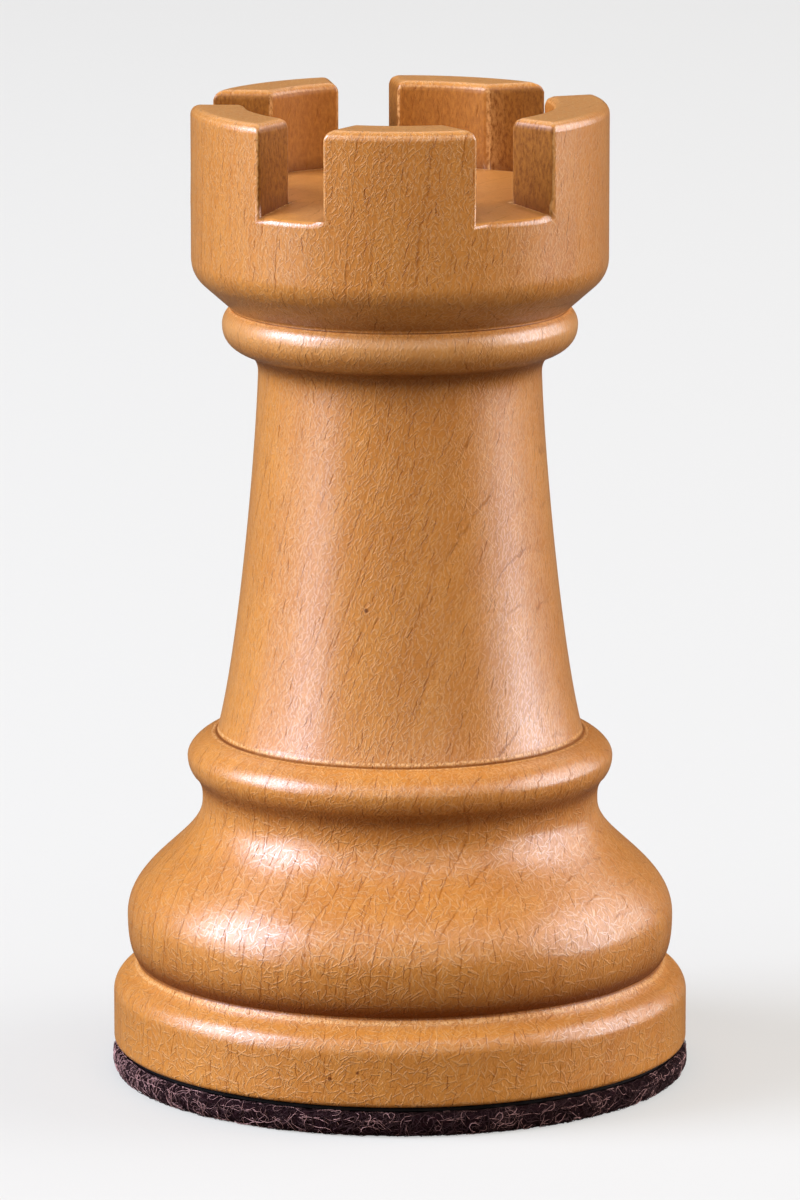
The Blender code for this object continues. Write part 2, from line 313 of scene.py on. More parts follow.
def soften(outline, corner, reach):
    # what lies within reach of a corner gives way to (1-t)^2 before + 2t(1-t) corner + t^2 after
    near = np.flatnonzero(np.linalg.norm(outline - corner, axis=1) < reach)
    before, after = outline[near[0] - 1], outline[near[-1] + 1]
    t = np.linspace(0.0, 1.0, rook["points"]["fillet"] + 2)[1:-1, None]
    curve = (1 - t) ** 2 * before + 2 * t * (1 - t) * corner + t**2 * after
    return np.concatenate([outline[: near[0]], curve, outline[near[-1] + 1 :]])


def bodyCorners():
    # radius and height of each corner and crest, and of the turret's floor
    corners, height = {}, rook["foot"] + rook["plinth"]["height"]
    for name, (radius, rise, *curve) in rook["curves"].items():
        height += rise
        corners[name] = np.array([radius, height])
    corners["floor"] = np.array([rook["head"]["radius"], height + rook["head"]["solid"]])
    return corners


def headRound():
    # the head's cone runs at its flare and is rounded into the upright wall
    head, (footRadius, height) = rook["head"], bodyCorners()["head"]
    flare = np.radians(head["flare"])
    corner = height + (head["radius"] - footRadius) * np.tan(flare)
    tangent = head["round"] * np.tan((np.pi / 2 - flare) / 2)
    centre = (head["radius"] - head["round"], corner + tangent)
    return arc(centre, head["round"], head["flare"] - 90.0, 0.0, rook["points"]["headRound"])


def bodyOutline():
    # radius and height from the end of the bore, round the foot and up to the turret's skirt
    foot, bore, plinth, count = (rook[key] for key in ("foot", "bore", "plinth", "points"))
    at, head = bodyCorners(), headRound()
    boreEnd = foot + bore["depth"]
    footCentre = (plinth["radius"] - plinth["footRound"], foot + plinth["footRound"])
    edgeCentre = (plinth["radius"] - plinth["edgeRound"], foot + plinth["height"] - plinth["edgeRound"])
    edge = arc(edgeCentre, plinth["edgeRound"], 0.0, plinth["edgeTurn"], count["edge"])
    skirt = at["floor"][1] - rook["turret"]["floorDrop"] - rook["support"]
    runs = [
        np.linspace((bore["centre"], boreEnd), (bore["radius"], boreEnd), count["boreEnd"]),
        np.linspace((bore["radius"], boreEnd), (bore["radius"], foot), count["boreWall"]),
        np.linspace((bore["radius"], foot), (footCentre[0], foot), count["sole"]),
        arc(footCentre, plinth["footRound"], -90.0, 0.0, count["footRound"]),
        np.linspace((plinth["radius"], footCentre[1]), edge[0], count["wall"]),
        edge,
    ]
    for name, (radius, rise, *curve) in rook["curves"].items():
        runs.append(sweep(runs[-1][-1], at[name], *curve))
    runs += [
        np.linspace(at["head"], head[0], count["cone"]),
        head,
        np.linspace(head[-1], (head[-1][0], skirt), count["headWall"]),
    ]
    outline = np.concatenate(runs)
    fresh = np.linalg.norm(np.diff(outline, axis=0), axis=1) > rook["samePoint"]
    outline = outline[np.concatenate([[True], fresh])]
    for name, reach in rook["fillets"].items():
        outline = soften(outline, at[name], reach)
    return outline


def notchWalls(heading, miss, width, fanOut):
    # azimuths at which the two walls meet the rim and the recess
    radius, recess = rook["head"]["radius"], rook["turret"]["recessRadius"]
    walls = []
    for side in (-1.0, 1.0):
        rim = heading + np.degrees(np.arcsin((miss + side * width / 2) / radius))
        reach = radius * np.sin(np.radians(rim - heading - side * fanOut))
        walls.append((rim, heading + side * fanOut + np.degrees(np.arcsin(reach / recess))))
    return walls


def turretColumns():
    # rim azimuth, recess azimuth and whether a merlon stands after it, for each column
    walls = [notchWalls(*notch) for notch in rook["notches"]]
    radii = np.array([rook["head"]["radius"], rook["turret"]["recessRadius"]])
    columns = []
    for index, (begin, end) in enumerate(walls):
        wrapped = index + 1 == len(walls)
        following = np.array(walls[(index + 1) % len(walls)][0]) + (360.0 if wrapped else 0.0)
        for first, last, stands in ((begin, end, 0.0), (end, following, 1.0)):
            span = np.array(last) - np.array(first)
            edge = rook["support"] / (np.radians(span) * radii).min()
            inner = np.linspace(edge, 1.0 - edge, int(span[0] / rook["columnStep"]))
            share = np.concatenate([[0.0], inner])[:, None]
            both = np.array(first) + share * span
            columns.append(np.concatenate([both, np.full((len(both), 1), stands)], axis=1))
    columns = np.concatenate(columns)
    return np.radians(columns[:, 0]), np.radians(columns[:, 1]), columns[:, 2] > 0.5


def around(radius, azimuth, height):
    # radius times (sin a, -cos a), so azimuth 0 faces -Y
    height = np.broadcast_to(height, np.broadcast(radius, azimuth).shape)
    return np.stack([radius * np.sin(azimuth), -radius * np.cos(azimuth), height], axis=-1)


def turretBlock(rim, recess, floor):
    # B(c, s, h) goes from rim to recess by s and from the notch floor to the top by h
    turret, support = rook["turret"], rook["support"]
    edge = support / (rook["head"]["radius"] - turret["recessRadius"])
    third = (0.5 - edge) / 3
    share = np.array([0.0, edge, 0.5 - third, 0.5 + third, 1.0 - edge, 1.0])
    rows = np.linspace(support, turret["depth"] - support, turret["wallRows"])
    height = np.concatenate([[0.0], rows, [turret["depth"]]])
    outer = around(rook["head"]["radius"], rim, floor)[:, None, None]
    inner = around(turret["recessRadius"], recess, floor)[:, None, None]
    block = outer + share[None, :, None, None] * (inner - outer)
    block = block + height[None, None, :, None] * np.array([0.0, 0.0, 1.0])
    # cut by hand: each notch floor falls to the rim by drop (1 - s), the top leans by lean y - sink
    block[:, :, 0, 2] -= turret["floorDrop"] * (1.0 - share)
    block[..., 2] += height / turret["depth"] * (turret["topLean"] * block[..., 1] - turret["topSink"])
    return block


def turnedGrid(outline, rim):
    # P(v, u) = around(r(v), a(v, u), z(v)); a runs evenly, and meets the turret's columns on the head
    at = bodyCorners()
    headFoot, floor = at["head"][1], at["floor"][1]
    even = rim[0] + np.arange(len(rim)) * 2 * np.pi / len(rim)
    onHead = np.clip((outline[:, 1] - headFoot) / (floor - headFoot - 2 * rook["support"]), 0.0, 1.0)
    onHead = (onHead * onHead * (3 - 2 * onHead))[:, None]
    return around(outline[:, :1], even + onHead * (rim - even), outline[:, 1:])


def shell(here, beside):
    # quads between a column's row of points and the next column's
    return cornerRows(here[:, :-1], beside[:, :-1], beside[:, 1:], here[:, 1:])


def sheet(wall):
    # quads over one notch wall, numbered by share and height
    return cornerRows(wall[:, :-1, :-1], wall[:, 1:, :-1], wall[:, 1:, 1:], wall[:, :-1, 1:])


def buildBody():
    turret, floor, outline = rook["turret"], bodyCorners()["floor"][1], bodyOutline()
    rim, recess, stands = turretColumns()
    radii = np.linspace(turret["recessRadius"], turret["centre"], turret["floorRings"])[1:, None]
    disc = around(radii, recess[None, :] + 0 * radii, floor)
    poles = np.array([[0.0, 0.0, outline[0, 1]], [0.0, 0.0, floor]])
    grids = turnedGrid(outline, rim), turretBlock(rim, recess, floor), disc, poles
    points = np.concatenate([grid.reshape(-1, 3) for grid in grids]) * mm
    numbers = np.split(np.arange(len(points)), np.cumsum([grid.size // 3 for grid in grids])[:-1])
    turned, block, disc, (boreEnd, centre) = (
        number.reshape(grid.shape[:-1]) for number, grid in zip(numbers, grids)
    )
    after = np.roll(block, -1, axis=0)
    walls = np.flatnonzero(stands != np.roll(stands, 1))
    opening = stands[walls]  # a merlon stands after this wall, and a notch before it
    faces = [
        fan(turned[0], boreEnd, True),
        gridQuads(np.concatenate([turned, block[None, :, 0, 0]])),
        shell(block[stands, 0], after[stands, 0]),
        shell(block[stands, :, -1], after[stands, :, -1]),
        shell(block[stands, -1, ::-1], after[stands, -1, ::-1]),
        shell(block[~stands, :, 0], after[~stands, :, 0]),
        sheet(block[walls[~opening]]),
        sheet(block[walls[opening]])[:, ::-1],
        gridQuads(np.concatenate([block[None, :, -1, 0], disc])),
        fan(disc[-1], centre, False),
    ]

    # inner corners of the turret, where its walls meet the floor, are marked for painted shade and for pale
    # specks
    crease = np.zeros(len(points))
    crease[block[stands | np.roll(stands, 1), -1, 0]] = 1.0
    crease[block[walls, 1:, 0]] = 1.0
    piece, renumber = newPiece("turned_body_wood", points, faces, {"crease": crease})

    # rounded edges: rims and wall tops in full, notch lips and upright corners less
    edges = rook["edges"]
    markEdges(piece.data, "bevel_weight_edge", "FLOAT", renumber, [
        (block[stands, 0, -1], after[stands, 0, -1], 1.0),
        (block[stands, -1, -1], after[stands, -1, -1], 1.0),
        (block[~stands, 0, 0], after[~stands, 0, 0], edges["lip"]),
        (block[walls, :-1, -1], block[walls, 1:, -1], 1.0),
        (block[walls, 0, :-1], block[walls, 0, 1:], edges["upright"]),
        (block[walls, -1, :-1], block[walls, -1, 1:], edges["upright"]),
    ])
    # sharp edges: where the walls meet the floors, and both ends of the bore
    bore = turned[np.flatnonzero(np.isclose(outline[:, 0], rook["bore"]["radius"]))[[0, -1]]]
    markEdges(piece.data, "sharp_edge", "BOOLEAN", renumber, [
        (block[walls, :-1, 0], block[walls, 1:, 0], True),
        (block[stands, -1, 0], after[stands, -1, 0], True),
        (bore, np.roll(bore, -1, axis=1), True),
    ])
    bevel = piece.modifiers.new("rounded_edges", "BEVEL")
    bevel.limit_method = "WEIGHT"
    bevel.width = edges["width"] * mm
    bevel.segments = edges["segments"]
    bevel.use_clamp_overlap = True
    bevel.harden_normals = True
    return piece


# the lacquered wood of the body, in mm

wood = {
    "pale": tint(0.672, 0.258, 0.044),
    "deep": tint(0.590, 0.208, 0.032),
    "layerLine": tint(0.27, 0.066, 0.005),
    "pore": tint(0.33, 0.085, 0.006),
    "straw": tint(0.90, 0.48, 0.175),
    "groove": tint(0.16, 0.036, 0.002),
    "cut": tint(0.365, 0.134, 0.018),
    "cutDark": tint(0.15, 0.040, 0.004),
    # what goes over the plain wood, in order: the share of each mask, and the colour
    "coats": [
        # painted shade: the bulb, bar its right side, a little darker
        ({"layerShade": 0.08, "onBulb": 0.06}, "layerLine"),
        # dark nicks: small dents, with painted shade beside the raised strokes; hollows: low parts of the
        # fine grain
        ({"hollows": 0.18, "shadedNicks": 0.14}, "pore"),
        # pale straws: marks in the grain, painted lighter as light on the raised strokes
        ({"straws": 0.27, "fineStraws": 0.26}, "straw"),
        ({"shortPores": 0.38}, "pore"),
        ({"marks": 0.68}, "layerLine"),
        # scratches; and painted light: the turret's tops and floors, which face up, go paler
        ({"scratches": 0.5, "tops": 0.22, "floors": 0.1}, "straw"),
        # browner cut faces, and painted shade on the notch walls, which take it in full
        ({"bareAndShaded": 0.93, "dirt": 0.06}, "cut"),
        # painted highlight on the collar's crest
        ({"crestHighlight": 0.25}, "straw"),
        # painted shade under things, round the grooves and in the turret's corners
        ({"shaded": 0.15, "shadedGrooves": 1.0}, "groove"),
        ({"seams": 0.85}, "groove"),
        # pale specks in the turret's corners; painted highlights beside the seams and on the walls' rounded
        # edges
        ({"paleSpecks": 0.65, "edgeHighlights": 0.55}, "straw"),
        ({"knots": 0.9}, "groove"),
    ],
    # shares of the masks in the relief, the roughness and the lacquer
    "relief": {"grain": 0.18, "straws": 0.75, "fineStraws": 0.6, "longPores": -0.6, "shortPores": -0.3,
               "lines": -0.3, "scratches": 0.4, "roughCut": 0.5, "shadedNicks": -0.25},
    "rough": {"plain": 0.34, "grain": -0.05, "longPores": 0.14, "matt": 0.35},
    "lacquer": {"plain": 0.60, "raised": 0.55, "shadedNicks": -0.2, "marks": -0.45, "onFoot": -0.12},
    "lacquerLost": 0.85,  # share of it that matt places lack
    "reliefDepth": 0.030,
    "lean": 0.10,  # mm that the fibres go to +X for each mm up
    "sway": {"span": (13.0, 43.0), "shift": 4.6},  # how much further they go along the stem
    "curl": {"scale": 2.2, "reach": (0.22, 0.22, 0.22)},  # small waves in the fibres
    "streak": {"scale": (0.9, 0.9, 0.07), "share": 0.55, "cloudScale": 0.16, "span": (0.36, 0.64)},
    # growth layers: their step, how they drift, where in a layer its dark line lies, where that shows
    "layer": {"across": (0.885, -0.465, 0.0), "step": 1.2, "drift": 2.4, "driftScale": (0.16, 0.16, 0.03),
              "line": ((0.875, 0.94), (0.94, 0.99)), "lineShare": 0.9, "shade": (0.2, 1.0),
              "shownScale": (0.5, 0.5, 0.09), "shown": (0.50, 0.62), "onBulb": 0.22,
              "dashScale": (1.2, 1.2, 1.1), "dashes": (0.38, 0.56), "dashShare": 0.55},
    # short marks: cell that holds one, heading and its spread, half width, length, share of cells
    "longPores": (1.0, (0.04, 0.0, 1.0), (0.5, 0.5, 0.2), 0.040, 0.55, 0.33),
    "shortPores": (0.46, (0.03, 0.0, 1.0), (1.2, 1.2, 0.3), 0.04, 0.22, 0.7),
    "straws": (0.58, (0.05, 0.0, 0.2), (2.2, 2.2, 1.5), 0.054, 0.46, 0.9),
    "fineStraws": (0.32, (0.05, 0.0, 0.9), (1.8, 1.8, 0.6), 0.045, 0.26, 0.85),
    "scratches": (2.3, (0.60, 0.42, -0.85), (0.25, 0.25, 0.2), 0.035, 1.3, 0.6),
    "strawShifts": ((0.0, 0.0, 0.0), (31.7, 17.3, 23.9)),  # two sets of straws lie over each other
    "nickShift": (57.1, 43.3, 11.9),
    "fewer": {"strawsAbove": 0.25, "fineOnFoot": 0.6, "endGrain": 0.75},
    "grain": {"scale": (6.4, 6.4, 2.9), "span": (0.3, 0.7)},
    "speckle": {"scale": (6.0, 6.0, 2.8), "cut": (0.25, 0.72), "dirt": (0.36, 0.5), "paleSpecks": (0.45, 0.6),
                "glints": (0.47, 0.53), "edgeHighlights": (0.35, 0.6)},
    # where things lie on the body: spans over which each one rises and falls
    "onBulb": {"up": ((5.0, 7.5), (12.5, 17.0)), "right": (1.5, 6.0)},
    "onFoot": (14.0, 21.0),
    "scratched": {"right": ((2.4, 4.2), (6.6, 7.6)), "up": ((22.0, 25.0), (36.0, 39.5)), "back": (-2.0, 0.0)},
    # faces told apart by where they look, and by height over the notches' lips and over the floor
    "faces": {"level": (0.6, 0.9), "upright": (0.3, 0.8), "round": (0.6, 0.85), "down": (-0.55, 0.15),
              "endGrain": (0.7, 0.95), "glints": (0.0, 0.4), "corners": (0.55, 0.9),
              "wallEdges": ((0.5, 0.62), (0.85, 0.95)), "walls": (-0.05, 0.15), "floorFoot": (-0.2, -0.05),
              "floorTop": (0.2, 0.4), "tops": (3.0, 4.0), "recessShare": 0.72},
    "knots": [((-1.85, -8.68, 27.89), 0.16), ((-3.84, -15.69, 3.23), 0.17), ((-2.32, -15.98, 3.63), 0.13)],
    # each groove: half width of its dark seam, share and reach of the painted shade round it, share of that
    # on faces that look up, and how far its dull, unpolished border goes
    "grooves": {
        "bulb": (0.17, 0.92, 4.6, 0.08, 1.9),
        "bead": (0.0, 0.62, 1.7, 0.6, 1.0),
        "stem": (0.12, 0.4, 0.6, 1.0, 0.6),
        "collar": (0.0, 0.6, 2.1, 0.55, 1.0),
        "head": (0.09, 0.38, 2.2, 0.05, 0.5),
    },
    # painted shade: its share in the turret's inner corners and its mottle; then the dull border's share and
    # the seams' fade
    "grooveShade": {"crease": 0.6, "mottle": 0.6, "border": 0.6, "seamFade": 0.35, "seamCloud": (0.4, 0.6)},
    "full": {"border": 0.3, "seam": 0.5, "glint": 0.3, "knot": 0.4},  # share of the reach that is full
    # painted highlights: the pale dashes beside each seam
    "glintOut": 1.9,  # where pale dashes lie beside a seam, in its half widths
    # painted highlight: the collar's crest painted lighter
    "crestHighlight": {"out": 2.0, "rise": 1.9, "reach": (0.2, 1.1)},  # from the collar's foot
}


def blend(masks, shares):
    return sum(share * masks[name] for name, share in shares.items())


def fibreWays(finish, skin):
    # the point moved so that the fibres run straight up, without and with their small waves
    x, y, z = finish.split(skin)
    sway, curl = wood["sway"], wood["curl"]
    fibre = finish.join(x - wood["lean"] * z - sway["shift"] * z.step(*sway["span"]), y, z)
    bent = finish.vector("SUBTRACT", finish.noise(skin, curl["scale"], detail=1.0, output=1), (0.5, 0.5, 0.5))
    return fibre, finish.vector("MULTIPLY_ADD", bent, curl["reach"], fibre)


def cutMasks(finish, skin, normal, speckle, crease):
    # how each face looks, and where the cutter went: walls of notches and recess, floors and tops
    x, y, z = finish.split(skin)
    look, grit = wood["faces"], wood["speckle"]
    floor = bodyCorners()["floor"][1]
    overLip, overFloor = z - (floor - rook["turret"]["floorDrop"]), z - floor
    facing = finish.split(normal)[2]
    level = finish.join(x, y, 0.0)
    outwards = finish.vector("DOT_PRODUCT", normal, finish.vector("NORMALIZE", level), output=1)
    flat = facing.step(*look["level"])
    walls = overLip.step(*look["walls"]) * (1.0 - abs(facing).step(*look["upright"]))
    slotWalls = walls * (1.0 - abs(outwards).step(*look["round"]))
    recessWall = walls * (0.0 - outwards).step(*look["round"])
    cutWalls = slotWalls.most(recessWall)
    floors = overLip.step(*look["floorFoot"]) * (1.0 - overFloor.step(*look["floorTop"])) * flat
    cut = cutWalls.most(floors)
    return {
        "facing": facing,
        "below": 1.0 - facing.step(*look["down"]),
        "spot": finish.join(finish.vector("LENGTH", level, output=1), z, 0.0),
        # painted shade: the notch walls take the browner cut tone in full, the recess wall less
        "bareAndShaded": slotWalls.most(look["recessShare"] * recessWall),
        "cutWalls": cutWalls,
        "cut": cut,
        "roughCut": cut * speckle,
        "floors": floors,
        # painted light: tops of the turret, which face up, go paler
        "tops": overFloor.step(*look["tops"]) * flat,
        "dirt": floors * (1.0 - speckle.step(*grit["dirt"])),
        "paleSpecks": floors * crease.step(*look["corners"]) * speckle.step(*grit["paleSpecks"]),
        # painted highlights along the walls' rounded edges
        "edgeHighlights": walls * abs(outwards).band(*look["wallEdges"]) * speckle.step(*grit["edgeHighlights"]),
    }


def layerMasks(finish, skin, fibre, curly):
    # each growth layer darkens through its width and ends in a thin dark line, clear in places
    x, y, z = finish.split(skin)
    look, bulb = wood["layer"], wood["onBulb"]
    onBulb = z.band(*bulb["up"]) * (1.0 - x.step(*bulb["right"]))
    drift = finish.stretched(fibre, look["driftScale"])
    through = finish.vector("DOT_PRODUCT", curly, look["across"], output=1) / look["step"]
    phase = (through + look["drift"] * drift).fraction()
    shown = finish.stretched(fibre, look["shownScale"], detail=3.0)
    clear = (shown + look["onBulb"] * onBulb).step(*look["shown"])
    dashes = finish.stretched(fibre, look["dashScale"]).step(*look["dashes"])
    dashed = (1.0 - look["dashShare"]) + look["dashShare"] * dashes
    lines = phase.band(*look["line"]) * clear * dashed
    return {"onBulb": onBulb, "layerShade": phase.step(*look["shade"]), "lines": lines}


def markMasks(finish, skin, curly, normal, masks):
    # dark pores along the fibres, pale straws and dark nicks in every direction (partly painted light and
    # shade of raised strokes), a few scratches, fine grain
    x, y, z = finish.split(skin)
    fewer, patch = wood["fewer"], wood["scratched"]
    onFoot = 1.0 - z.step(*wood["onFoot"])
    turned = 1.0 - masks["cut"]
    along = 1.0 - fewer["endGrain"] * masks["facing"].step(*wood["faces"]["endGrain"])
    straws, fineStraws = 0.0, 0.0
    for shift in wood["strawShifts"]:
        shifted = finish.vector("ADD", curly, shift)
        straws = finish.strokes(shifted, normal, *wood["straws"]).most(straws)
        fineStraws = finish.strokes(shifted, normal, *wood["fineStraws"]).most(fineStraws)
    shadedNicks = finish.strokes(finish.vector("ADD", curly, wood["nickShift"]), normal, *wood["straws"])
    kept = fewer["strawsAbove"] + (1.0 - fewer["strawsAbove"]) * onFoot
    straws = straws * kept * turned
    fineStraws = fineStraws * (1.0 - fewer["fineOnFoot"] * onFoot) * turned
    longPores = finish.strokes(curly, normal, *wood["longPores"]) * along
    inPatch = x.band(*patch["right"]) * z.band(*patch["up"]) * (1.0 - y.step(*patch["back"]))
    grain = finish.stretched(curly, wood["grain"]["scale"], detail=1.5, roughness=0.6)
    grain = grain.step(*wood["grain"]["span"])
    return {
        "onFoot": onFoot,
        "straws": straws,
        "fineStraws": fineStraws,
        "raised": straws.most(fineStraws),
        "shadedNicks": shadedNicks * kept * (1.0 - straws),
        "longPores": longPores,
        "shortPores": finish.strokes(curly, normal, *wood["shortPores"]) * along,
        "marks": longPores.most(wood["layer"]["lineShare"] * masks["lines"]),
        "scratches": finish.strokes(skin, normal, *wood["scratches"]) * inPatch,
        "grain": grain,
        "hollows": 1.0 - grain,
    }


def grooveMasks(finish, skin, masks, speckle, cloud, crease):
    # painted shade, dark seams with pale dashes of painted highlight beside them, and dull borders, by
    # distance from each groove;
    # the collar's crest painted lighter as a highlight, and small dark knots, in the same way
    at, look, full, crestLight = bodyCorners(), wood["grooveShade"], wood["full"], wood["crestHighlight"]
    spot, below = masks["spot"], masks["below"]
    grooveShade, seam, glint, border, knots = look["crease"] * crease, 0.0, 0.0, 0.0, 0.0
    for name, (half, share, reach, up, dull) in wood["grooves"].items():
        gap = finish.gap(spot, (*at[name], 0.0))
        grooveShade = (share * (1.0 - gap.step(0.0, reach)) * (up + (1.0 - up) * below)).most(grooveShade)
        border = (1.0 - gap.step(full["border"] * dull, dull)).most(border)
        if half:
            seam = (1.0 - gap.step(full["seam"] * half, half)).most(seam)
            beside = abs(gap - wood["glintOut"] * half)
            glint = (1.0 - beside.step(full["glint"] * half, half)).most(glint)
    for centre, radius in wood["knots"]:
        knots = (1.0 - finish.gap(skin, centre).step(full["knot"] * radius, radius)).most(knots)
    glint = glint * masks["facing"].step(*wood["faces"]["glints"])
    mottle = 1.0 + look["mottle"] * (speckle - 0.5)
    fade = look["seamFade"] * (1.0 - cloud.step(*look["seamCloud"]))
    crest = (at["collar"][0] + crestLight["out"], at["collar"][1] + crestLight["rise"], 0.0)
    return {
        # painted shade on faces that look down, round each groove and in the turret's inner corners
        "shaded": below * mottle,
        "shadedGrooves": grooveShade * mottle,
        "seams": seam * (1.0 - fade),
        "crestHighlight": 1.0 - finish.gap(spot, crest).step(*crestLight["reach"]),
        # pale specks in the turret's corners, with painted highlights beside the seams
        "paleSpecks": masks["paleSpecks"].most(glint * speckle.step(*wood["speckle"]["glints"])),
        "matt": masks["cutWalls"].most(grooveShade).most(seam).most(look["border"] * border),
        "knots": knots,
    }


def lacqueredWood():
    finish = Finish("lacquered_wood", Specular_IOR_Level=0.14, Coat_Roughness=0.3, Coat_IOR=1.8)
    skin = finish.skinPoint()
    normal = finish.node("NewGeometry", output=1)
    crease = finish.attribute("crease")
    fibre, curly = fibreWays(finish, skin)
    speckle = finish.stretched(skin, wood["speckle"]["scale"], detail=4.0, roughness=0.7)

    # broad tone: long streaks along the fibres over cloudy patches
    streak = wood["streak"]
    cloud = finish.noise(skin, streak["cloudScale"], detail=3.0)
    long = finish.stretched(fibre, streak["scale"], detail=4.0, roughness=0.6)
    tone = (streak["share"] * long + (1.0 - streak["share"]) * cloud).step(*streak["span"])
    colour = finish.mix(tone, wood["deep"], wood["pale"])

    masks = {"plain": 1.0}
    masks.update(cutMasks(finish, skin, normal, speckle, crease))
    masks.update(layerMasks(finish, skin, fibre, curly))
    masks.update(markMasks(finish, skin, curly, normal, masks))
    masks.update(grooveMasks(finish, skin, masks, speckle, cloud, crease))

    # what the cutter left is browner and speckled
    cutTone = finish.mix(speckle.step(*wood["speckle"]["cut"]), wood["cutDark"], wood["cut"])
    tones = {**wood, "cut": cutTone}
    for shares, name in wood["coats"]:
        colour = finish.mix(blend(masks, shares), colour, tones[name])
    return finish.feed(
        Base_Color=colour,
        Roughness=blend(masks, wood["rough"]),
        Coat_Weight=blend(masks, wood["lacquer"]) * (1.0 - wood["lacquerLost"] * masks["matt"]),
        Normal=finish.bump(blend(masks, wood["relief"]), wood["reliefDepth"] * mm),
    )


body = buildBody()
place(body, lacqueredWood(), "turned_body")
print("body made:", len(body.data.polygons), "faces before its edges are rounded")


# the pad under the foot: a felt disc with loose fibres curled over its rim, in mm

pad = {
    "radius": 16.12,
    "thickness": 1.3,
    "footRound": 0.55,
    "topRound": 0.3,
    "centre": 0.3,
    "columns": 480,
    "points": {"foot": 16, "top": 12, "flat": 12},
    "lumps": {"height": 0.03, "waves": 26, "round": (30, 150), "up": 5.0},
    # turn and wave bend a fibre, lift raises its middle and dip sinks its ends
    "fibres": {"count": 4000, "length": (0.8, 2.2), "thick": (0.013, 0.022), "taper": 0.6, "points": 8,
               "turn": 2.8, "wave": 0.8, "lift": 0.09, "lifts": (0.2, 1.3), "dip": 0.15,
               "lowest": {"start": 0.1, "along": 0.05, "height": 0.03},
               # pale: share of pale fibres, and how much it rises towards -X as painted light
               "pale": (0.15, 0.28), "paleTones": (0.55, 1.0), "darkTones": (0.0, 0.12)},
    # short fibres along the top of the rim: count, shares of the usual length and bend, start below its end
    "edgeFibres": {"count": 190, "length": 0.45, "bend": 0.15, "below": 0.5},
}


def padRim():
    # outline of the rim by its length: a quarter round at the foot, a wall and a quarter round at the top
    foot, top = pad["footRound"], pad["topRound"]
    lower = arc((pad["radius"] - foot, foot), foot, -90.0, 0.0, pad["points"]["foot"])
    upper = arc((pad["radius"] - top, pad["thickness"] - top), top, 0.0, 90.0, pad["points"]["top"])
    rim = np.concatenate([lower, upper])
    along = np.concatenate([[0.0], np.cumsum(np.linalg.norm(np.diff(rim, axis=0), axis=1))])
    return rim, along


def lumpiness(azimuth, along):
    # sum of waves cos(m a + n h + phase), m whole so that they close round the rim
    look = pad["lumps"]
    turns = draw.integers(*look["round"], look["waves"])
    rises = draw.normal(0.0, look["up"], look["waves"])
    phases = draw.uniform(0.0, 2 * np.pi, look["waves"])
    shape = (slice(None),) + (None,) * np.ndim(azimuth)
    waves = np.cos(turns[shape] * azimuth + rises[shape] * along + phases[shape])
    return look["height"] * waves.sum(axis=0) / np.sqrt(look["waves"] / 2)


def buildPadCore():
    # P(v, u) = around(r(v) + lumps, u, z(v)), from the middle of the foot round the rim to that of the top
    rim, along = padRim()
    inner = np.linspace(pad["centre"], pad["radius"] - pad["footRound"], pad["points"]["flat"])[:-1]
    under = np.stack([inner, np.zeros_like(inner)], axis=1)
    over = np.stack([inner[::-1], np.full_like(inner, pad["thickness"])], axis=1)
    outline = np.concatenate([under, rim, over])
    length = np.concatenate([np.zeros(len(under)), along, np.full(len(over), along[-1])])
    onRim = np.sin(np.pi * np.clip(length / along[-1], 0.0, 1.0))[:, None]
    azimuth = np.linspace(0.0, 2 * np.pi, pad["columns"], endpoint=False)
    spot = np.broadcast_arrays(azimuth[None, :], length[:, None])
    radius = outline[:, :1] + onRim * lumpiness(*spot)
    surface = around(radius, spot[0], outline[:, 1:])
    index = np.arange(radius.size).reshape(radius.shape)
    poles = [[0.0, 0.0, 0.0], [0.0, 0.0, pad["thickness"]]]
    points = np.concatenate([surface.reshape(-1, 3), poles]) * mm
    faces = [fan(index[0], radius.size, True), gridQuads(index), fan(index[-1], radius.size + 1, False)]
    return newPiece("pad_felt_core", points, faces)[0]


def fibrePaths():
    # azimuth, length up the rim and lift of each fibre: its heading turns steadily and waves
    look, short = pad["fibres"], pad["edgeFibres"]
    top = padRim()[1][-1]
    column = (look["count"], 1)
    t = np.linspace(0.0, 1.0, look["points"])
    onEdge = np.arange(look["count"])[:, None] < short["count"]
    length = draw.uniform(*look["length"], column) * np.where(onEdge, short["length"], 1.0)
    turn = draw.normal(0.0, look["turn"], column)
    wave = draw.uniform(0.0, 2 * np.pi, column)
    bend = turn * t + look["wave"] * np.sin(2 * np.pi * t + wave)
    heading = np.where(onEdge, short["bend"] * bend, draw.uniform(0.0, 2 * np.pi, column) + bend)
    pace = length / (look["points"] - 1)
    s = draw.uniform(0.0, 2 * np.pi * pad["radius"], column) + np.cumsum(pace * np.cos(heading), axis=1)
    start = np.where(onEdge, top - short["below"], draw.uniform(look["lowest"]["start"], top, column))
    h = np.clip(start + np.cumsum(pace * np.sin(heading), axis=1), look["lowest"]["along"], top)
    lift = look["lift"] * (draw.uniform(*look["lifts"], column) * np.sin(np.pi * t) - look["dip"])
    return s / pad["radius"], h, lift, onEdge


